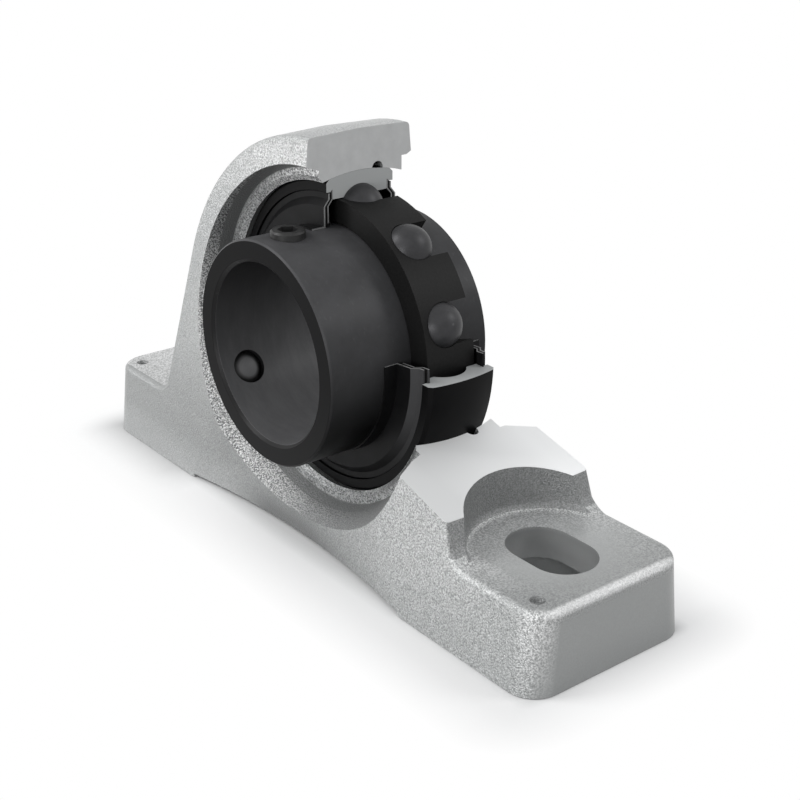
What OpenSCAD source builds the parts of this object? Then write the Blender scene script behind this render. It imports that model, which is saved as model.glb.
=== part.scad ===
// Pillow block bearing, cut open to show the insert bearing inside.
// The shaft runs along Y with its set screws on the -Y side, the bolts lie along X,
// and the origin is on the mounting surface, straight under the shaft.

/* [Base] */
// Length of the base along X
base_l = 203; // [190:1:230]
// Width of the base along Y
base_w = 54.6; // [50:0.2:62]
// Height of the feet
foot_h = 22.3; // [20:0.1:25]
// Radius of the base's upright corners
base_corner_r = 8.2; // [4:0.2:12]
// Radius of the cast edges round the top of the feet
foot_edge_r = 1.6; // [1:0.1:3]
// Draft of the base's end walls, in degrees
end_draft = 2.1; // [0.5:0.1:4]
// Draft of the long sides of the base and the arch, in degrees
side_draft = 5.4; // [4:0.1:5.8]
// How deep each long side of the base is waisted
waist_depth = 4.9; // [0.5:0.1:7]
// Half the length of the waist
waist_half_l = 52; // [44:0.5:56]
// Half the length of the relieved underside
relief_half_l = 50.5; // [40:0.5:54]
// Height of the relief under the base
relief_h = 1; // [0.5:0.1:3]

/* [Bolt feet] */
// Distance between the two bolt slots
bolt_spacing = 157; // [150:0.5:164]
// Width of a bolt slot
slot_w = 18; // [14:0.5:20]
// End-to-end length of a bolt slot
slot_l = 26; // [22:0.5:32]
// Thickness of the iron that a slot goes through, under the top of the foot
slot_web = 9; // [8:0.5:16]
// How much wider the cored space under a slot is, on each side
slot_core = 3.5; // [1:0.5:5]
// Radius of the washer pocket sunk into the housing's flank
pocket_r = 22.2; // [19:0.2:24]
// Radius of the fillet round the floor of the pocket
pocket_fillet_r = 2.5; // [1:0.5:4]
// Diameter of a dowel dimple
dimple_d = 3.8; // [2:0.2:5]
// Depth of a dowel dimple
dimple_depth = 1.2; // [0.5:0.1:2]
// Distance of a dowel dimple from the middle of the base along X
dimple_x = 93.8; // [88:0.2:95]
// Distance of a dowel dimple from the middle of the base along Y
dimple_y = 19.2; // [17:0.2:20]

/* [Arch] */
// Height of the shaft above the mounting surface
axis_h = 57.7; // [56:0.1:62]
// Outer radius of the arch at its crest
arch_r = 58.2; // [57:0.1:60]
// How far the arch's own centre lies below the shaft
arch_drop = 2; // [0:0.1:3]
// Lean of the arch's flanks, in degrees
flank_lean = 15.4; // [12:0.2:18]
// Radius of the arch's cast edges
arch_edge_r = 1.2; // [1:0.1:2.5]
// How much lower the arch's rim is than its crest
crown_drop = 0.5; // [0:0.1:1]
// Radius of the fillet between a flank and its foot
flank_fillet_r = 8; // [4:0.5:10]

/* [Bearing seat] */
// How far the ball-shaped seat lies outside the balls' circle
seat_rise = 10; // [9.6:0.05:10.4]
// Running gap between the outer ring and its seat
seat_gap = 0.05; // [0.03:0.01:0.08]
// How far the seat reaches toward the front
seat_front = 13.3; // [12:0.1:14.5]
// How far the seat reaches toward the back
seat_back = 14.1; // [12:0.1:14.5]
// Step from the seat's radius to the counterbore at its floor
counterbore_step = 1.8; // [1:0.1:3]
// How much wider the front counterbore is where its cast flare begins
flare_step = 1.3; // [1.2:0.1:2.2]
// Distance of the flare's beginning from the middle plane
flare_y = 17.2; // [15:0.1:18]
// Slope of the cast flare
flare_slope = 0.53; // [0.3:0.01:0.7]
// How much nearer the middle plane the flare begins at the back
rear_flare_step = 1.4; // [0.5:0.1:2]
// Width of the lead-in that is broken off the seat's front edge
lead_in_w = 1.9; // [1:0.1:2.2]
// Depth of that lead-in
lead_in_depth = 1.1; // [0.5:0.1:1.5]
// Radius of the grease groove's section
groove_r = 1.8; // [1:0.1:2.2]
// Distance of the grease groove behind the middle plane
groove_y = 5.9; // [3:0.1:7]

/* [Cutaway] */
// Height of the housing's lower cut over the middle of the seat's edge
cut_h = 39.6; // [38:0.2:42]
// Slope of the housing's lower cut, in degrees
cut_slope = 15.6; // [8:0.1:22]
// Angle of the outer ring's lower cut above the horizontal
ring_cut = -0.8; // [-4:0.1:2]
// Angle of the seals' lower cut above the horizontal
seal_cut = 4.4; // [2:0.1:8]

/* [Rings] */
// Outer radius of the inner ring
inner_r = 31.05; // [29:0.05:33]
// Wall of the inner ring between the bore for the shaft and its outside
bore_wall = 6.05; // [5.8:0.05:7]
// Reach of the inner ring toward the front
nose_front = 32.6; // [30:0.1:36]
// Reach of the inner ring toward the back
nose_back = 19; // [17.5:0.1:22]
// Width of the outer ring
ring_w = 22; // [22:0.1:22.8]
// How far the outer ring's inner land lies outside the balls' circle
land_rise = 3.4; // [3.3:0.05:3.8]
// How far the bottom of a seal groove lies outside the balls' circle
groove_rise = 6; // [5.8:0.05:6.3]
// Radial height of the chamfer at the outer ring's edges
ring_chamfer = 0.7; // [0.3:0.1:1]
// Width of the chamfer at the outer ring's edges
ring_chamfer_w = 3; // [2:0.25:4]
// Chamfer round the outside of the inner ring's ends
nose_chamfer = 0.5; // [0.2:0.05:1]
// Chamfer at the ends of the bore
bore_chamfer = 0.85; // [0.3:0.05:1.5]

/* [Balls and cage] */
// Number of balls
ball_count = 10; // [8:1:10]
// Radius of a ball
ball_r = 6.35; // [6.2:0.05:6.4]
// How far the circle through the balls' centres lies outside the inner ring
ball_rise = 3.95; // [3.85:0.05:4.05]
// Gap between a ball and a raceway
race_gap = 0.02; // [0.01:0.01:0.05]
// Radius of a raceway's section
race_r = 6.55; // [6.5:0.01:6.65]
// Gap between a ball and its cage pocket
cage_gap = 0.2; // [0.15:0.05:0.3]
// Gap between the inner ring and the cage
cage_in_gap = 0.45; // [0.3:0.05:0.9]
// Thickness of the cage
cage_th = 6.6; // [5.9:0.05:6.7]
// Reach of the cage's closed rim toward the front
cage_front = 7.3; // [7.2:0.05:7.8]
// Reach of the cage's fingers toward the back
cage_back = 8.4; // [7:0.1:8.6]
// Half the width of the mouth of a cage pocket
mouth_half_w = 5.5; // [5:0.1:5.9]

/* [Set screws] */
// Radius of a set screw
screw_r = 4.7; // [4:0.05:4.9]
// Gap round a set screw in its hole
screw_gap = 0.05; // [0.02:0.01:0.1]
// Distance of the set screws in front of the middle plane
screw_y = 23.5; // [22:0.1:26]
// Depth of a screw's tip below the wall of the bore
screw_tip_sunk = 0.35; // [0.1:0.05:1]
// Radius of a screw's tip
tip_r = 3.3; // [2.5:0.1:3.8]
// Height of the cone round a screw's tip
tip_cone_h = 1.6; // [1:0.1:2]
// Chamfer round the top of a screw
screw_chamfer = 0.5; // [0.2:0.1:1]
// Radius of the dome of a screw's tip
tip_dome_r = 8.5; // [8:0.5:12]
// How far a set screw stands out of the nose
screw_proud = 1.9; // [0:0.1:3]
// Width across the flats of the hexagon socket
socket_af = 5; // [4:0.5:6]
// Depth of the hexagon socket
socket_depth = 4.5; // [3:0.1:5.5]
// Angle between the two set screws
screw_angle = 120; // [90:5:180]

/* [Seals] */
// Distance of a seal plate from the middle plane
seal_y = 8.9; // [8.9:0.05:9]
// Thickness of a seal's steel plate
plate_th = 0.4; // [0.3:0.05:0.45]
// Thickness of the rubber on a seal plate
rubber_th = 0.45; // [0.3:0.05:0.5]
// Gap between the rubber and the flinger
flinger_gap = 0.25; // [0.15:0.05:0.3]
// Thickness of a flinger
flinger_th = 0.45; // [0.3:0.05:0.5]
// How far the seals and flingers step outward toward the shaft
seal_step = 1.5; // [1:0.1:1.8]
// Distance from the inner ring at which that step begins
step_out_rise = 7.55; // [7.35:0.05:7.75]
// Distance from the inner ring at which that step ends
step_in_rise = 5.75; // [5:0.05:6.1]
// Distance between a seal plate and the inner ring
lip_reach = 1.1; // [0.9:0.05:1.3]
// Gap between the lip of a seal and the inner ring
lip_gap = 0.1; // [0.05:0.01:0.2]
// How far a flinger stands out from the inner ring
flinger_rise = 9.15; // [8.6:0.05:9.3]
// Reach of a flinger's collar along the inner ring, from the middle plane
collar_y = 15.9; // [14:0.1:17]

/* [Hidden] */
$fn = 96;
far = 400;
skin = 0.01;
corner_fn = 32;
round_steps = [0, 22.5, 45, 67.5, 90];
arc_step = 4;
iron = [0.66, 0.67, 0.67];
steel_dark = [0.2, 0.2, 0.21];
steel_ball = [0.42, 0.42, 0.43];
polymer = [0.1, 0.1, 0.1];
rubber = [0.07, 0.07, 0.07];
sheet = [0.3, 0.3, 0.31];
bore_r = inner_r - bore_wall;
pitch_r = inner_r + ball_rise;
cage_in_r = inner_r + cage_in_gap;
cage_out_r = cage_in_r + cage_th;
step_out_r = inner_r + step_out_rise;
step_in_r = inner_r + step_in_rise;
flinger_r = inner_r + flinger_rise;
land_r = pitch_r + land_rise;
seal_groove_r = pitch_r + groove_rise;
seat_r = pitch_r + seat_rise;
seat_cut_r = seat_r + seat_gap;
counterbore_r = seat_r + counterbore_step;
flare_r = counterbore_r + flare_step;
cut_x = 41;
race_out_c = pitch_r + ball_r + race_gap - race_r;
race_in_c = pitch_r - ball_r - race_gap + race_r;
pocket_ball_r = ball_r + cage_gap;
ring_half = ring_w / 2;
plate_in_r = inner_r + lip_reach;
plate_out_r = seal_groove_r - 0.05;
rubber_out_r = seal_groove_r - 0.6;
rubber_y = seal_y + plate_th;
plate_step_y = seal_y + seal_step;
rubber_step_y = rubber_y + seal_step;
waist_r = (waist_half_l * waist_half_l + waist_depth * waist_depth) / (2 * waist_depth);
end_k = tan(end_draft);
side_k = tan(side_draft);
arch_z = axis_h - arch_drop;
fillet_z = foot_h + flank_fillet_r;
fillet_sunk = 0.06;
fillet_edge_r = max(foot_edge_r, arch_edge_r) + 0.15;

// Turns a profile of radius and forward distance about the shaft's axis
module turned(from = 0, sweep = 360) {
    translate([0, 0, axis_h])
        rotate([90, 0, 0])
            rotate_extrude(angle = sweep, start = from)
                children();
}

// Distance of the drafted front and back from the middle plane at a height
function side_at(z) = base_w / 2 - side_k * z;

// Distance from the middle to the flank at a height, for an arch smaller by inset
function flank_at(z, inset) = (arch_r - inset + (arch_z - z) * sin(flank_lean)) / cos(flank_lean);

// Point of the arch's outline at an angle, smaller by inset
function arch_point(a, inset) = [(arch_r - inset) * cos(a), arch_z + (arch_r - inset) * sin(a)];

// Outline of the arch, smaller by inset all round, as points in X and Z
function arch_outline(inset) = concat(
    [[flank_at(relief_h, inset), relief_h]],
    [for (a = [flank_lean : arc_step : 90]) arch_point(a, inset)],
    [for (a = [90 : arc_step : 180 - flank_lean]) arch_point(a, inset)],
    [arch_point(180 - flank_lean, inset), [-flank_at(relief_h, inset), relief_h]]);

// One leaf of the arch, lying along its drafted side and set in by a depth
module arch_leaf(side, depth, inset) {
    multmatrix([[1, 0, 0, 0],
                [0, 1, -side * side_k, side * (side_at(0) - depth)],
                [0, 0, 1, 0],
                [0, 0, 0, 1]])
        rotate([90, 0, 0])
            linear_extrude(height = skin, center = true)
                polygon(arch_outline(inset));
}

// Solid arch with its rounded cast edges, crowned a little towards the middle
module arch_body() {
    hull() {
        rotate([90, 0, 0])
            linear_extrude(height = skin, center = true)
                polygon(arch_outline(0));
        for (side = [-1, 1])
            for (t = round_steps)
                arch_leaf(side, skin + arch_edge_r * (1 - sin(t)), crown_drop + arch_edge_r * (1 - cos(t)));
    }
}

// Inset and height of the base's outline at a step of its top rounding
function base_ring(t) = [foot_edge_r * (1 - cos(t)), foot_h - foot_edge_r + foot_edge_r * sin(t)];

// Upright corner of the base, drafted on both sides and rounded over at the top
module corner_post() {
    multmatrix([[1, 0, -end_k, base_l / 2 - base_corner_r],
                [0, 1, -side_k, base_w / 2 - base_corner_r],
                [0, 0, 1, 0],
                [0, 0, 0, 1]]) {
        cylinder(r = base_corner_r, h = foot_h - foot_edge_r, $fn = corner_fn);
        for (i = [0 : len(round_steps) - 2]) {
            low = base_ring(round_steps[i]);
            high = base_ring(round_steps[i + 1]);
            translate([0, 0, low.y])
                cylinder(r1 = base_corner_r - low.x, r2 = base_corner_r - high.x,
                         h = high.y - low.y, $fn = corner_fn);
        }
    }
}

// Solid base between its four corners
module base_body() {
    hull()
        for (side_x = [-1, 1])
            for (side_y = [-1, 1])
                scale([side_x, side_y, 1])
                    corner_post();
}

// Fillet between a flank and its foot, rounded where it meets the front and the back.
// Its axis is square to the drafted side, and it is sunk a little into flank and foot.
module flank_fillets() {
    in_w = base_w / 4;
    deep = 4;
    spread = 4;
    for (side_x = [-1, 1])
        for (side_y = [-1, 1])
            scale([side_x, side_y, 1])
                translate([flank_at(fillet_z, crown_drop) + flank_fillet_r / cos(flank_lean) - fillet_sunk,
                           side_at(fillet_z), fillet_z - fillet_sunk])
                    rotate([side_draft - 90, 0, 0])
                        rotate_extrude(angle = 90 - flank_lean + 2 * spread, start = 90 - spread) {
                            translate([flank_fillet_r, -in_w])
                                square([deep, in_w - fillet_edge_r]);
                            translate([flank_fillet_r + fillet_edge_r, -in_w])
                                square([deep - fillet_edge_r, in_w - fillet_sunk]);
                            translate([flank_fillet_r + fillet_edge_r, -fillet_edge_r])
                                circle(r = fillet_edge_r - fillet_sunk);
                        }
}

// Outline of a bolt slot, widened all round
module slot_outline(wider) {
    straight = slot_l - slot_w;
    square([straight, slot_w + 2 * wider], center = true);
    for (side = [-1, 1])
        translate([side * straight / 2, 0])
            circle(d = slot_w + 2 * wider);
}

// Slot for a bolt, cored wider below the web under the foot's top
module bolt_slot() {
    translate([0, 0, -1]) {
        linear_extrude(height = foot_h + 2)
            slot_outline(0);
        linear_extrude(height = foot_h - slot_web + 1)
            slot_outline(slot_core);
    }
}

// Space for a washer and a spanner over a slot, with a fillet round its floor
module washer_pocket() {
    floor_r = pocket_r - pocket_fillet_r;
    translate([0, 0, foot_h])
        rotate_extrude() {
            square([floor_r, far / 4]);
            translate([0, pocket_fillet_r])
                square([pocket_r, far / 4]);
            translate([floor_r, pocket_fillet_r])
                intersection() {
                    circle(r = pocket_fillet_r);
                    translate([-1, -pocket_fillet_r])
                        square([pocket_fillet_r + 1, pocket_fillet_r + 1]);
                }
        }
}

// Waists in both long sides and the relief between the feet
module base_cuts() {
    for (side = [-1, 1])
        translate([0, side * (base_w / 2 - waist_depth + waist_r), -1])
            cylinder(r = waist_r, h = far / 2);
    translate([-relief_half_l, -base_w, -far / 8])
        cube([2 * relief_half_l, 2 * base_w, far / 8 + relief_h]);
    for (side = [-1, 1]) {
        translate([side * bolt_spacing / 2, 0, 0]) {
            bolt_slot();
            washer_pocket();
        }
        translate([side * dimple_x, -dimple_y, foot_h - dimple_depth])
            cylinder(r1 = dimple_d / 2 - dimple_depth / 2, r2 = dimple_d / 2, h = dimple_depth + skin);
    }
}

// Ball-shaped seat, its grease groove and the counterbores on both sides
module seat_cuts() {
    far_y = base_w;
    rear_flare_y = flare_y - rear_flare_step;
    edge_r = sqrt(seat_cut_r * seat_cut_r - seat_front * seat_front);
    lead_out_r = edge_r + lead_in_w;
    translate([0, 0, axis_h])
        sphere(r = seat_cut_r);
    turned()
        polygon([[0, seat_front], [counterbore_r, seat_front], [flare_r, flare_y],
                 [flare_r + flare_slope * (far_y - flare_y), far_y], [0, far_y]]);
    turned()
        polygon([[0, -seat_back], [counterbore_r, -seat_back], [counterbore_r, -rear_flare_y],
                 [counterbore_r + flare_slope * (far_y - rear_flare_y), -far_y], [0, -far_y]]);
    turned()
        translate([sqrt(seat_cut_r * seat_cut_r - groove_y * groove_y), -groove_y])
            circle(r = groove_r);
    turned()
        polygon([[lead_out_r / 2, seat_front - lead_in_depth],
                 [lead_out_r - 1.5, seat_front - lead_in_depth],
                 [lead_out_r, seat_front + skin], [lead_out_r / 2, seat_front + skin]]);
}

// Space where the housing is cut open, upright over the shaft and sloping beside it
module housing_cutaway() {
    k = tan(cut_slope);
    rotate([90, 0, 0])
        linear_extrude(height = far, center = true)
            polygon([[0, cut_h + k * cut_x], [far / 2, cut_h - k * (far / 2 - cut_x)],
                     [far / 2, far], [0, far]]);
}

module housing() {
    color(iron)
        difference() {
            union() {
                base_body();
                arch_body();
                flank_fillets();
            }
            base_cuts();
            seat_cuts();
            housing_cutaway();
        }
}

module outer_ring() {
    edge = sqrt(seat_r * seat_r - ring_half * ring_half);
    color(steel_dark)
        turned(90, 270 + ring_cut)
            difference() {
                intersection() {
                    circle(r = seat_r);
                    translate([land_r - 1, -ring_half])
                        square([seat_r - land_r + 2, ring_w]);
                    polygon([[land_r - 1, -ring_half], [edge - ring_chamfer, -ring_half],
                             [seat_r + 1, ring_chamfer_w - ring_half],
                             [seat_r + 1, ring_half - ring_chamfer_w],
                             [edge - ring_chamfer, ring_half], [land_r - 1, ring_half]]);
                }
                translate([land_r - 2, -ring_half - 1])
                    square([2, ring_w + 2]);
                translate([race_out_c, 0])
                    circle(r = race_r);
                for (side = [-1, 1])
                    scale([1, side])
                        polygon([[land_r - 1, seal_y], [seal_groove_r, seal_y],
                                 [seal_groove_r, seal_y + plate_th],
                                 [seal_groove_r - 0.5, seal_y + plate_th + 0.4],
                                 [seal_groove_r - 0.5, ring_half + 1], [land_r - 1, ring_half + 1]]);
            }
}

// Places a set screw or its hole: along +Z from the shaft's axis, turned round the shaft
module at_screw(index) {
    translate([0, -screw_y, axis_h])
        rotate([0, -index * screw_angle, 0])
            children();
}

module inner_ring() {
    color(steel_dark)
        difference() {
            turned()
                difference() {
                    polygon([[bore_r + bore_chamfer, -nose_back], [inner_r - nose_chamfer, -nose_back],
                             [inner_r, nose_chamfer - nose_back], [inner_r, nose_front - nose_chamfer],
                             [inner_r - nose_chamfer, nose_front], [bore_r + bore_chamfer, nose_front],
                             [bore_r, nose_front - bore_chamfer], [bore_r, -nose_back + bore_chamfer]]);
                    translate([race_in_c, 0])
                        circle(r = race_r);
                }
            for (i = [0, 1])
                at_screw(i)
                    cylinder(r = screw_r + screw_gap, h = far / 4);
        }
}

// Set screw with a hexagon socket on top and a coned, slightly domed tip below
module set_screw(index) {
    tip = bore_r + screw_tip_sunk;
    top = inner_r + screw_proud;
    color(steel_dark)
        at_screw(index)
            difference() {
                rotate_extrude()
                    intersection() {
                        polygon([[0, tip], [tip_r, tip], [screw_r, tip + tip_cone_h],
                                 [screw_r, top - screw_chamfer], [screw_r - screw_chamfer, top], [0, top]]);
                        translate([0, tip + tip_dome_r])
                            circle(r = tip_dome_r);
                    }
                translate([0, 0, top - socket_depth])
                    cylinder(d = socket_af / cos(30), h = socket_depth + 1, $fn = 6);
            }
}

// Place of a ball, the first one straight above the shaft
module at_ball(index) {
    translate([0, 0, axis_h])
        rotate([0, index * 360 / ball_count, 0])
            translate([0, 0, pitch_r])
                children();
}

module ball(index) {
    color(steel_ball)
        at_ball(index)
            sphere(r = ball_r);
}

// Snap-in cage: a closed rim in front and fingers between the balls behind
module cage() {
    color(polymer)
        difference() {
            turned()
                translate([cage_in_r, -cage_back])
                    square([cage_out_r - cage_in_r, cage_front + cage_back]);
            for (i = [0 : ball_count - 1])
                at_ball(i) {
                    sphere(r = pocket_ball_r);
                    translate([-mouth_half_w, 0, -pocket_ball_r])
                        cube([2 * mouth_half_w, 2 * cage_back, 2 * pocket_ball_r]);
                }
        }
}

// Turns a seal's section on one side of the bearing, open where the seals are cut
module sealed(side) {
    turned(90, 270 + seal_cut)
        scale([1, side])
            children();
}

module seal_plate(side) {
    color(sheet)
        sealed(side)
            polygon([[plate_out_r, seal_y], [step_out_r, seal_y], [step_in_r, plate_step_y],
                     [plate_in_r, plate_step_y], [plate_in_r, rubber_step_y], [step_in_r, rubber_step_y],
                     [step_out_r, rubber_y], [plate_out_r, rubber_y]]);
}

// Rubber moulded on the plate, wrapped round its inner edge into a lip
module seal_rubber(side) {
    color(rubber)
        sealed(side)
            polygon([[rubber_out_r, rubber_y], [step_out_r, rubber_y], [step_in_r, rubber_step_y],
                     [plate_in_r, rubber_step_y], [plate_in_r, plate_step_y],
                     [plate_in_r - rubber_th, plate_step_y],
                     [inner_r + lip_gap, rubber_step_y + rubber_th / 2],
                     [inner_r + lip_gap + 0.2, rubber_step_y + rubber_th],
                     [step_in_r, rubber_step_y + rubber_th], [step_out_r, rubber_y + rubber_th],
                     [rubber_out_r, rubber_y + rubber_th]]);
}

// Sheet disc held on the inner ring by its collar
module flinger(side) {
    at = rubber_y + rubber_th + flinger_gap;
    bottom = at + seal_step;
    in_r = inner_r + skin;
    color(sheet)
        sealed(side)
            polygon([[flinger_r, at], [step_out_r, at], [step_in_r, bottom], [in_r, bottom],
                     [in_r, collar_y], [in_r + flinger_th, collar_y],
                     [in_r + flinger_th, bottom + flinger_th], [step_in_r, bottom + flinger_th],
                     [step_out_r, at + flinger_th], [flinger_r, at + flinger_th]]);
}

housing();
outer_ring();
inner_ring();
cage();
ball(0);  // ball_01
ball(1);  // ball_02
ball(2);  // ball_03
ball(3);  // ball_04
ball(4);  // ball_05
ball(5);  // ball_06
ball(6);  // ball_07
ball(7);  // ball_08
ball(8);  // ball_09
ball(9);  // ball_10
set_screw(0);  // set_screw_1
set_screw(1);  // set_screw_2
seal_plate(1);  // front_seal_plate
seal_rubber(1);  // front_seal_rubber
flinger(1);  // front_flinger
seal_plate(-1);  // rear_seal_plate
seal_rubber(-1);  // rear_seal_rubber
flinger(-1);  // rear_flinger
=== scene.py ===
import math
import bmesh
import bpy
from mathutils import Matrix, Vector

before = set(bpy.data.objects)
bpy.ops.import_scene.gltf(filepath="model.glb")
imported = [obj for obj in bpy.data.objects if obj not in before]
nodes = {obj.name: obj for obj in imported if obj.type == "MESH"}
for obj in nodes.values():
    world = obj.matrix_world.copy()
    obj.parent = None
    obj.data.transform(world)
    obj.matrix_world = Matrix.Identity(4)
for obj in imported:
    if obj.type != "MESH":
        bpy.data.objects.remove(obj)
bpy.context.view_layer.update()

scene = bpy.context.scene
scene.view_settings.view_transform = "Standard"


# Camera.
# It stands in front, to the right of the bearing and well above it, close enough for the near
# foot to look larger than the far one. Its shift follows the way the picture was cropped. The
# picture's side, the focal length and the shift are in the picture's own pixels.
turn, tip, roll = math.radians(51.794), math.radians(23.784), math.radians(0.138)
looked_at = Vector((0.015513, 0.0, 0.039597))
distance = 0.397086
picture_side = 800
focal_length = 1441.36
off_centre_x, off_centre_y = 4.525, 5.643
back = Vector((math.sin(turn) * math.cos(tip), -math.cos(turn) * math.cos(tip), math.sin(tip)))
camera = bpy.data.objects.new("camera", bpy.data.cameras.new("camera"))
scene.collection.objects.link(camera)
scene.camera = camera
camera.location = looked_at + back * distance
camera.rotation_mode = "QUATERNION"
camera.rotation_quaternion = (-back).to_track_quat("-Z", "Y")
camera.rotation_quaternion.rotate(Matrix.Rotation(roll, 3, back).to_quaternion())
camera.data.sensor_width = 36.0
camera.data.lens = camera.data.sensor_width * focal_length / picture_side
camera.data.shift_x = off_centre_x / picture_side
camera.data.shift_y = off_centre_y / picture_side
camera.data.clip_start = 0.01
camera.data.clip_end = 20.0


# Floor, backdrop and light.
# A white floor under a white sky that keeps the bearing's soft shadow. Near the bearing the
# floor's colour is darkened as a painted shadow, darkest where the feet touch it. Three soft lamps
# stand in front, at the left, above and before the near foot, and a fourth stands behind.
class Wire:
    """A shader socket that can be used in sums."""

    def __init__(self, finish, socket):
        self.finish = finish
        self.socket = socket

    def _with(self, operation, other, turned=False):
        pair = (other, self) if turned else (self, other)
        return self.finish.node("ShaderNodeMath", {"operation": operation}, *pair)

    def __add__(self, other):
        return self._with("ADD", other)

    def __mul__(self, other):
        return self._with("MULTIPLY", other)

    def __sub__(self, other):
        return self._with("SUBTRACT", other)

    def __rsub__(self, other):
        return self._with("SUBTRACT", other, turned=True)

    def __gt__(self, other):
        return self._with("GREATER_THAN", other)

    def __lt__(self, other):
        return self._with("LESS_THAN", other)

    def absolute(self):
        return self.finish.node("ShaderNodeMath", {"operation": "ABSOLUTE"}, self)

    def root(self):
        return self.finish.node("ShaderNodeMath", {"operation": "SQRT"}, self)

    def clamped(self, low, high, to_low=0.0, to_high=1.0):
        return self.finish.node("ShaderNodeMapRange", {"clamp": True}, self, low, high, to_low, to_high)


class Finish:
    """The shader nodes of one finish."""

    def __init__(self, name, tree=None):
        self.material = None
        if tree is None:
            self.material = bpy.data.materials.new(name)
            self.material.use_nodes = True
            tree = self.material.node_tree
        self.tree = tree
        self.tree.nodes.clear()

    def node(self, kind, settings=None, *values, out=0, **named):
        """A node of this kind: its settings, then its inputs in their order or by name."""
        made = self.tree.nodes.new(kind)
        for key, value in (settings or {}).items():
            setattr(made, key, value)
        for key, value in list(enumerate(values)) + list(named.items()):
            socket = made.inputs[key if isinstance(key, int) else key.replace("_", " ")]
            if isinstance(value, Wire):
                self.tree.links.new(value.socket, socket)
            else:
                socket.default_value = value
        return Wire(self, made.outputs[out])

    def place(self):
        """Object coordinates, in metres."""
        return self.node("ShaderNodeTexCoord", out=3)

    def parts(self, vector):
        split = self.tree.nodes.new("ShaderNodeSeparateXYZ")
        self.tree.links.new(vector.socket, split.inputs[0])
        return [Wire(self, split.outputs[i]) for i in range(3)]

    def noise(self, vector, size, detail=2.0, roughness=0.5, stretch=None):
        """Noise whose grains are about this many metres across."""
        if stretch:
            vector = self.node("ShaderNodeMapping", None, vector, Scale=stretch)
        return self.node("ShaderNodeTexNoise", None, Vector=vector, Scale=1.0 / size, Detail=detail,
                         Roughness=roughness)

    def mix(self, factor, low, high):
        """A colour between two others."""
        made = self.tree.nodes.new("ShaderNodeMix")
        made.data_type = "RGBA"
        for key, value in ((0, factor), (6, low), (7, high)):
            if isinstance(value, Wire):
                self.tree.links.new(value.socket, made.inputs[key])
            else:
                made.inputs[key].default_value = value
        return Wire(self, made.outputs[2])

    def coat(self, **inputs):
        """A surface shader with these inputs."""
        return self.node("ShaderNodeBsdfPrincipled", **inputs)

    def background_ray(self):
        """1 where the camera, a reflection or a look through something meets the background."""
        ways = [self.node("ShaderNodeLightPath", out=way) for way in (0, 3, 6)]
        return (ways[0] + ways[1] + ways[2]).clamped(0, 1)

    def surface(self, shader):
        out = self.tree.nodes.new("ShaderNodeOutputMaterial")
        self.tree.links.new(shader.socket, out.inputs[0])
        return self.material


base_end, base_side = 0.0985, 0.0243
floor_mesh = bmesh.new()
bmesh.ops.create_grid(floor_mesh, x_segments=1, y_segments=1, size=4.0)
floor = bpy.data.objects.new("floor", bpy.data.meshes.new("floor"))
floor_mesh.to_mesh(floor.data)
floor_mesh.free()
floor.location.z = -0.0002
scene.collection.objects.link(floor)
paper = Finish("white_floor")
x, y, z = paper.parts(paper.place())
beside = (x.absolute() - base_end).clamped(0, 1, 0, 1.4)
before = (y.absolute() - base_side).clamped(0, 1, 0, 1)
away = (beside * beside + before * before).root()
# Painted shadow on the floor: darker towards the near foot in front and at the near end, and darker
# still close to the feet.
front_painted_shade = paper.mix(x.clamped(-0.02, 0.08), (0.99, 0.99, 0.99, 1), (0.76, 0.76, 0.76, 1))
end_painted_shade = paper.mix(x.clamped(0.094, 0.1), (1.0, 1.0, 1.0, 1), (0.92, 0.92, 0.92, 1))
painted_shadow_tone = paper.mix(y.clamped(-0.035, -0.01), front_painted_shade, end_painted_shade)
at_far_foot = x.clamped(-0.06, -0.045, 1.0, 0.0)
wide_painted_shadow = away.clamped(0.0, 0.018, 0.9, 0.0) * at_far_foot
slim_painted_shadow = away.clamped(0.0, 0.0055, 0.5, 0.0) * (1.0 - at_far_foot)
painted_shadow_tone = paper.mix(wide_painted_shadow + slim_painted_shadow, painted_shadow_tone, (0.5, 0.5, 0.5, 1))
near_white = paper.node("ShaderNodeBsdfDiffuse", None, painted_shadow_tone)
far_white = paper.node("ShaderNodeEmission", None, (1.0, 1.0, 1.0, 1), 1.0)
shown = paper.node("ShaderNodeMixShader", None, away.clamped(0.002, 0.026), near_white, far_white)
bounce = paper.node("ShaderNodeBsdfDiffuse", None, (0.12, 0.12, 0.12, 1))
floor.data.materials.append(
    paper.surface(paper.node("ShaderNodeMixShader", None, paper.background_ray(), bounce, shown))
)

scene.world = bpy.data.worlds.new("studio")
scene.world.use_nodes = True
sky = Finish("studio", scene.world.node_tree)
lit = sky.node("ShaderNodeBackground", None, (0.98, 0.99, 1.0, 1), 0.68)
shown = sky.node("ShaderNodeBackground", None, (1, 1, 1, 1), 1.0)
backdrop = sky.node("ShaderNodeMixShader", None, sky.background_ray(), lit, shown)
world_out = sky.tree.nodes.new("ShaderNodeOutputWorld")
sky.tree.links.new(backdrop.socket, world_out.inputs[0])


def soft_lamp(name, place, aim, size, power):
    """A square soft lamp at a place, turned to what it lights."""
    lamp = bpy.data.objects.new(name, bpy.data.lights.new(name, "AREA"))
    lamp.data.shape = "SQUARE"
    lamp.data.size = size
    lamp.data.energy = power
    lamp.location = place
    lamp.rotation_mode = "QUATERNION"
    lamp.rotation_quaternion = (Vector(aim) - Vector(place)).to_track_quat("-Z", "Y")
    scene.collection.objects.link(lamp)


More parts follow.
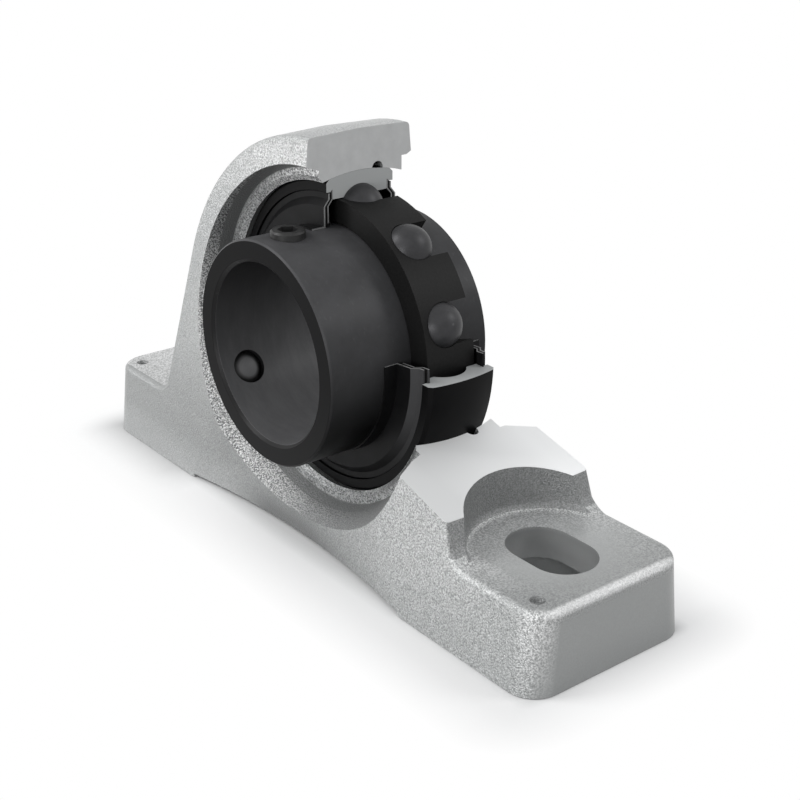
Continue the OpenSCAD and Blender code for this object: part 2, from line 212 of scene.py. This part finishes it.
soft_lamp("lamp_left", (-0.9, -0.77, 0.11), (0, 0, 0.05), 0.35, 2.3)
soft_lamp("lamp_over", (-0.55, -0.72, 0.8), (0, 0, 0.05), 0.45, 5.5)
soft_lamp("lamp_front", (0.24, -0.66, 0.1), (0.08, 0, 0.02), 0.3, 1.9)
soft_lamp("lamp_back", (0.7, 0.8, 0.8), (0, 0, 0.05), 0.35, 3.0)


# Housing.
# Sand-cast grey iron with a fine grained skin. The seat for the bearing is bored, and the
# faces where the casting is cut open are ground smooth and stay paler than the skin.
def weld(piece):
    """Joins a node's loose triangles for shading and keeps its edges over 32 degrees sharp."""
    piece.data.polygons.foreach_set("use_smooth", [True] * len(piece.data.polygons))
    join = piece.modifiers.new("join", "WELD")
    join.merge_threshold = 0.000002
    edges = piece.modifiers.new("edges", "EDGE_SPLIT")
    edges.split_angle = math.radians(32)
    even = piece.modifiers.new("even", "WEIGHTED_NORMAL")
    even.keep_sharp = True


def dress(piece, material):
    piece.data.materials.clear()
    piece.data.materials.append(material)


axis_z = 0.0577
bolt_x = 0.0785
cast = Finish("sand_cast_iron")
where = cast.place()
x, y, z = cast.parts(where)
up = z - axis_z
from_axis = (x * x + up * up).root()
beside = x.absolute() - bolt_x
from_bolt = (beside * beside + y * y).root()
grain = cast.noise(where, 0.00045, 2.0, 0.65)
speck = grain.clamped(0.34, 0.66)
strong_speck = grain.clamped(0.4, 0.62)
blotch = cast.noise(where, 0.012, 3.0, 0.55)

# The two ground faces of the cutaway, one upright and one sloping down to the near foot.
cut_x, cut_z = 0.041, 0.0396
cut_fall = math.tan(math.radians(15.6))
upright_cut = (x.absolute() < 0.00003) * (z > 0.09)
slope_cut = ((z - cut_z + (x - cut_x) * cut_fall).absolute() < 0.00012) * (x > 0.001)

# The mouth round the bearing: an outer flare, a cone and a flat ledge in front of the seals.
flare_r, flare_y, flare_slope = 0.0481, 0.0172, 0.53
flare = ((from_axis - flare_r + (y + flare_y) * flare_slope).absolute() < 0.0001) * (y < -0.0171)
cone = ((from_axis - 0.0475).absolute() < 0.0006) * (y < -0.0134) * (y > -0.0171)
ledge = (from_axis < 0.0469) * (y < -0.0121) * (y > -0.0134)
upper_half = up.clamped(-0.004, 0.022)
low_right = up.clamped(-0.03, -0.01, 1.0, 0.0) * x.clamped(-0.03, 0.002)

# The feet: the washer pocket with the flank over it, the slot in the web and the wider core
# under it, and the end walls. The slot's tone is painted paler deep down, as painted light where
# it lies in shade.
pocket = (from_bolt > 0.0212) * (from_bolt < 0.0223) * (z > 0.0228)
lean = math.radians(15.4)
out_from_flank = x * math.cos(lean) + (z - 0.0557) * math.sin(lean)
flank = out_from_flank.clamped(0.0571, 0.0576) * (z > 0.024) * (z < 0.05)
in_web = (from_bolt < 0.0136) * (z < 0.0221)
under_web = (from_bolt < 0.0175) * (z < 0.0135)
in_slot = (in_web + under_web).clamped(0, 1)
slot_painted_light = cast.mix(z.clamped(0.012, 0.021), (0.72, 0.73, 0.73, 1), (0.27, 0.275, 0.275, 1))
from_dimple_x = x.absolute() - 0.0938
from_dimple_y = y + 0.0192
dimple = (from_dimple_x * from_dimple_x + from_dimple_y * from_dimple_y).root() < 0.00195
spot = 1.0 - from_bolt.clamped(0.013, 0.025)
# Where the grain shows: less on the end walls, on the spot faces round the slots and towards the far
# end. It sets the bump and the speckle in the skin's colour, which is partly grain and partly painted
# sparkle.
end_wall = x.absolute().clamped(0.098, 0.1006, 1.0, 0.12) + z.clamped(0.0185, 0.0205)
grain_and_sparkle = end_wall.clamped(0.12, 1.0, 0.12, 1.0) * (1.0 - spot * (z < 0.0225) * 0.85)
grain_and_sparkle = grain_and_sparkle * x.clamped(-0.08, 0.02, 0.55, 1.0)

# Painted shade on the skin: low on the front, along the bottom edge and at the near end. Close
# to the floor the far half of the front is painted lighter, as painted light.
front_side = y.clamped(-0.0171, -0.016, 1.0, 0.0)
foot_top = (z > 0.0215) * (z < 0.0232) * (y.absolute() < 0.0236)
far_low = front_side * x.clamped(0.0, 0.03, 0.4, 0.0) * z.clamped(0.025, 0.045, 1.0, 0.0)
far_bottom = front_side * x.clamped(-0.035, -0.015, 1.0, 0.0) * z.clamped(0.0, 0.012, 1.0, 0.0)
far_low = far_low * (1.0 - far_bottom)
under_bearing = x.clamped(-0.035, -0.015) * x.clamped(0.005, 0.045, 1.0, 0.0)
bottom_edge = front_side * z.clamped(0.002, 0.01, 0.7, 0.0) * under_bearing
near_end = x.clamped(0.0985, 0.1, 0.0, 0.18) + foot_top * x.clamped(0.08, 0.095, 0.0, 0.42)
painted_shade = (far_low + bottom_edge + near_end).clamped(0, 1)

# Painted highlights on the skin: the arch's crown, the slope beside the pocket, the near
# foot's upright corner, both foot tops and the rim of the near end.
above = z - 0.0557
inside_edge = (x * x + above * above).root().clamped(0.056, 0.0573, 1.0, 0.1)
over_cut = up.clamped(0.03, 0.05) * x.clamped(-0.05, -0.02)
crown = front_side * inside_edge * (up.clamped(0.01, 0.05) * 0.2 + over_cut * 0.4)
shoulder = front_side * x.clamped(0.028, 0.048) * x.clamped(0.075, 0.09, 1.0, 0.0)
shoulder = shoulder * z.clamped(0.005, 0.02) * 0.25
corner = ((from_dimple_x - from_dimple_y) * 0.7071 + z * 0.0928).clamped(0.0058, 0.008)
corner = corner * (x > 0) * (y < 0) * (z < 0.03) * z.clamped(0.001, 0.018, 0.15, 0.8)
far_top = foot_top * (x < -0.06) * 0.55
near_top = foot_top * (x > 0.055) * x.clamped(0.064, 0.08, 0.42, 0.0)
painted_highlight = (crown + shoulder + corner + far_top + near_top).clamped(0, 1)
# The rim of the near end gets a painted highlight.
rim = x.clamped(0.0984, 0.0994) * z.clamped(0.0202, 0.0212) * 0.7

# The mouth's bright speckle is partly grain and partly painted sparkle, and its shaded tone is painted
# shade.
mouth_grain_and_sparkle = cast.mix(strong_speck, (0.13, 0.135, 0.135, 1), (1.0, 1.0, 1.0, 1))
shaded_tone = cast.mix(strong_speck, (0.04, 0.041, 0.041, 1), (0.38, 0.388, 0.388, 1))
ledge_tone = cast.mix(strong_speck, (0.1, 0.103, 0.103, 1), (0.52, 0.53, 0.53, 1))
ledge_tone = cast.mix(x.clamped(-0.026, -0.008) * (up > 0), ledge_tone, mouth_grain_and_sparkle)
skin_tone = cast.mix((speck - 0.4) * grain_and_sparkle + 0.4, (0.225, 0.232, 0.231, 1), (0.59, 0.6, 0.598, 1))
# The skin's colour, in turn: random blotches, the painted shade, painted light low on the far half, the
# painted highlights and rim, the slot's painted light, painted shade in the washer pocket and the
# dimple with the flank over the pocket darker too, the mouth's grain and sparkle, the ledge, and
# painted shade on the upper flare, the lower right of the flare and the cone.
for part, colour in (
    (blotch.clamped(0.35, 0.65) * 0.15, (0.31, 0.32, 0.318, 1)),
    (painted_shade, (0.19, 0.195, 0.194, 1)),
    (far_bottom * 0.27, (0.6, 0.61, 0.608, 1)),
    (painted_highlight, cast.mix(strong_speck, (0.34, 0.345, 0.345, 1), (1.0, 1.0, 1.0, 1))),
    (rim, cast.mix(speck, (0.65, 0.655, 0.655, 1), (1.0, 1.0, 1.0, 1))),
    (in_slot * 0.75, slot_painted_light),
    ((pocket + flank).clamped(0, 1) * (x > 0) * 0.56 + dimple * 0.5, (0.1, 0.103, 0.103, 1)),
    (flare, mouth_grain_and_sparkle),
    (ledge, ledge_tone),
    (flare * upper_half, shaded_tone),
    (flare * low_right * 0.8, (0.2, 0.205, 0.205, 1)),
    (cone * up.clamped(-0.028, -0.008, 0.62, 1.0), (0.13, 0.133, 0.133, 1)),
):
    skin_tone = cast.mix(part, skin_tone, colour)
skin_bump = cast.node("ShaderNodeBump", Distance=0.0003, Strength=1.0, Height=grain * grain_and_sparkle)
skin = cast.coat(Base_Color=skin_tone, Roughness=0.3, Metallic=0.3, Normal=skin_bump)

ground = cast.noise(where, 0.004, 3.0, 0.6)
ground_tone = cast.mix(ground.clamped(0.3, 0.7), (0.52, 0.525, 0.525, 1), (0.58, 0.585, 0.585, 1))
# The sloping cut is painted paler than the upright one and paler towards the back, as a painted sheen.
slope_painted_sheen = cast.mix(y.clamped(-0.016, 0.018), (0.64, 0.645, 0.645, 1), (0.95, 0.955, 0.955, 1))
ground_tone = cast.mix(slope_cut, ground_tone, slope_painted_sheen)
ground_face = cast.coat(Base_Color=ground_tone, Roughness=0.6)
cut = (upright_cut + slope_cut).clamped(0, 1)
cast.surface(cast.node("ShaderNodeMixShader", None, cut, skin, ground_face))
dress(nodes["housing"], cast.material)
weld(nodes["housing"])


# Outer ring.
# Hardened steel with a dark finish. Its outside is ground to a ball so that it can tilt in
# the housing, and the faces where it is cut open are pale.
steel = Finish("dark_ring_steel")
where = steel.place()
x, y, z = steel.parts(where)
upright_cut = (x.absolute() < 0.00003) * (z > 0.09)
cut_fall = math.tan(math.radians(0.8))
level_cut = ((z - axis_z + x * cut_fall).absolute() < 0.00003) * (x > 0.036)
cut = (upright_cut + level_cut).clamped(0, 1)
wear = steel.noise(where, 0.006, 4.0, 0.6)
tone = steel.mix(wear.clamped(0.3, 0.7), (0.003, 0.003, 0.0032, 1), (0.005, 0.005, 0.0053, 1))
gloss = wear.clamped(0.3, 0.7, 0.36, 0.46)
ring_skin = steel.coat(Base_Color=tone, Specular_IOR_Level=0.06, Roughness=gloss)
ring_cut = steel.coat(Base_Color=(0.39, 0.4, 0.4, 1), Roughness=0.5)
steel.surface(steel.node("ShaderNodeMixShader", None, cut, ring_skin, ring_cut))
dress(nodes["outer_ring"], steel.material)
weld(nodes["outer_ring"])


# Inner ring.
# The wide ring that grips the shaft, of the same dark steel, turned and ground all over. Its
# bore is paler with streaks of oil, partly as ground steel and partly as painted light, and its
# lead-in and front face are darker, the front face with less gloss.
turned = Finish("dark_turned_steel")
where = turned.place()
x, y, z = turned.parts(where)
bore_radius = 0.02504
up = z - axis_z
from_axis = (x * x + up * up).root()
bore = from_axis < bore_radius
lead_in = (from_axis < 0.0271) * (from_axis > bore_radius) * (y < -0.03)
front_face = y < -0.03255
wear = turned.noise(where, 0.006, 4.0, 0.6)
lathe = turned.noise(where, 0.0006, 2.0, 0.5, stretch=(0.05, 1.0, 0.05))
streak = turned.noise(where, 0.009, 5.0, 0.7, stretch=(0.7, 2.2, 0.7)).clamped(0.36, 0.64)
film = turned.mix(streak, (0.098, 0.098, 0.101, 1), (0.118, 0.118, 0.121, 1))
# The bore is painted darker towards its top, as painted shade.
film = turned.mix(up.clamped(-0.016, 0.026), film, (0.02, 0.02, 0.0205, 1))
flecks = turned.noise(where, 0.0013, 4.0, 0.65, stretch=(0.6, 1.0, 0.6)).clamped(0.58, 0.7)
tone = turned.mix(wear.clamped(0.34, 0.66), (0.055, 0.055, 0.057, 1), (0.065, 0.065, 0.068, 1))
# Painted shade darkens the outside's lower half. The light flecks show only on the upper half, partly
# marks and partly painted highlight.
for part, colour in (
    (up.clamped(-0.016, 0.016, 1.0, 0.0), (0.004, 0.004, 0.0042, 1)),
    (lead_in, (0.016, 0.016, 0.0163, 1)),
    (flecks * up.clamped(-0.005, 0.015) * 0.16, (0.13, 0.13, 0.133, 1)),
    (bore, film),
):
    tone = turned.mix(part, tone, colour)
lathe_bump = turned.node("ShaderNodeBump", Strength=0.1, Distance=0.0001, Height=lathe)
gloss = wear.clamped(0.3, 0.7, 0.34, 0.42)
ground_skin = turned.coat(Base_Color=tone, Specular_IOR_Level=0.1, Roughness=gloss, Normal=lathe_bump)
# The front face is painted darker towards its top, as painted shade.
face_painted_shade = turned.mix(up.clamped(-0.03, 0.0), (0.015, 0.015, 0.0153, 1), (0.007, 0.007, 0.0073, 1))
face_skin = turned.coat(Base_Color=face_painted_shade, Roughness=0.45, Specular_IOR_Level=0.04)
turned.surface(turned.node("ShaderNodeMixShader", None, front_face, ground_skin, face_skin))
dress(nodes["inner_ring"], turned.material)
weld(nodes["inner_ring"])


# Cage.
# One moulding of dull black polymer that keeps the balls apart. Its rim is closed in front,
# and the balls snap into it from behind.
moulded = Finish("black_polymer")
where = moulded.place()
pores = moulded.noise(where, 0.0006, 2.0, 0.5)
tone = moulded.mix(pores.clamped(0.3, 0.7), (0.005, 0.005, 0.005, 1), (0.008, 0.008, 0.008, 1))
pore_bump = moulded.node("ShaderNodeBump", Strength=0.15, Distance=0.0001, Height=pores)
moulded.surface(
    moulded.coat(Base_Color=tone, Roughness=0.5, Specular_IOR_Level=0.14, Normal=pore_bump)
)
dress(nodes["cage"], moulded.material)
weld(nodes["cage"])


# Balls.
# Ten ground and lapped steel balls, dark from the oil on them.
lapped = Finish("lapped_ball_steel")
where = lapped.place()
film = lapped.noise(where, 0.003, 3.0, 0.6)
tone = lapped.mix(film.clamped(0.3, 0.7), (0.036, 0.036, 0.038, 1), (0.048, 0.048, 0.051, 1))
gloss = film.clamped(0.3, 0.7, 0.4, 0.48)
lapped.surface(lapped.coat(Base_Color=tone, Metallic=0.5, Specular_IOR_Level=0.3, Roughness=gloss))
for count in range(1, 11):
    ball = nodes["ball_%02d" % count]
    dress(ball, lapped.material)
    weld(ball)


# Set screws.
# Two hardened socket screws, black from their heat treatment, that clamp the inner ring to the
# shaft. Their tips look out of the bore, and each tip's middle has a painted highlight.
black = Finish("black_screw_steel")
where = black.place()
x, y, z = black.parts(where)
up = z - axis_z
screw_y = -0.0235
inner_end = (x * x + up * up).root() < 0.0272
across = up * math.cos(math.radians(30)) - x * math.sin(math.radians(30))
along = y - screw_y
from_screw = (across * across + along * along).root()
# A painted highlight on the middle of each tip.
tip = inner_end * from_screw.clamped(0.0026, 0.0037, 1.0, 0.0)
wear = black.noise(where, 0.002, 3.0, 0.6)
tone = black.mix(wear.clamped(0.3, 0.7), (0.015, 0.015, 0.015, 1), (0.03, 0.03, 0.03, 1))
tone = black.mix(tip, tone, (0.16, 0.16, 0.163, 1))
gloss = wear.clamped(0.3, 0.7, 0.35, 0.45)
black.surface(black.coat(Base_Color=tone, Specular_IOR_Level=0.3, Roughness=gloss))
for name in ("set_screw_1", "set_screw_2"):
    dress(nodes[name], black.material)
    weld(nodes[name])


# Seal plates and flingers.
# Thin pressed steel discs, dark outside. The plates snap into the outer ring and the flingers
# are pressed onto the inner ring. Where they are cut open their edges are pale.
sheet = Finish("dark_sheet_steel")
where = sheet.place()
x, y, z = sheet.parts(where)
upright_cut = (x.absolute() < 0.00003) * (z > 0.08)
cut_rise = math.tan(math.radians(4.4))
level_cut = ((z - axis_z - x * cut_rise).absolute() < 0.00003) * (x > 0.03)
cut = (upright_cut + level_cut).clamped(0, 1)
up = z - axis_z
from_axis = (x * x + up * up).root()
outer_edge = (from_axis > 0.0368) * (y < -0.009)
# A painted sheen lightens the outer part of the front discs at the lower right.
sheen = outer_edge * x.clamped(0.018, 0.034) * up.clamped(-0.03, -0.01)
wear = sheet.noise(where, 0.005, 3.0, 0.6)
tone = sheet.mix(wear.clamped(0.3, 0.7), (0.005, 0.005, 0.0053, 1), (0.009, 0.009, 0.0095, 1))
tone = sheet.mix(sheen, tone, (0.06, 0.06, 0.062, 1))
sheet_skin = sheet.coat(Base_Color=tone, Roughness=0.4, Specular_IOR_Level=0.08)
sheet_cut = sheet.coat(Base_Color=(0.24, 0.24, 0.24, 1), Roughness=0.4)
sheet.surface(sheet.node("ShaderNodeMixShader", None, cut, sheet_skin, sheet_cut))
for name in ("front_seal_plate", "rear_seal_plate", "front_flinger", "rear_flinger"):
    dress(nodes[name], sheet.material)
    weld(nodes[name])


# Seal rubber.
# Black rubber moulded on the outside of each plate, with a thin lip on the inner ring.
rubber = Finish("black_seal_rubber")
where = rubber.place()
bloom = rubber.noise(where, 0.004, 3.0, 0.6)
tone = rubber.mix(bloom.clamped(0.3, 0.7), (0.004, 0.004, 0.004, 1), (0.007, 0.007, 0.007, 1))
rubber.surface(rubber.coat(Base_Color=tone, Roughness=0.55, Specular_IOR_Level=0.14))
for name in ("front_seal_rubber", "rear_seal_rubber"):
    dress(nodes[name], rubber.material)
    weld(nodes[name])
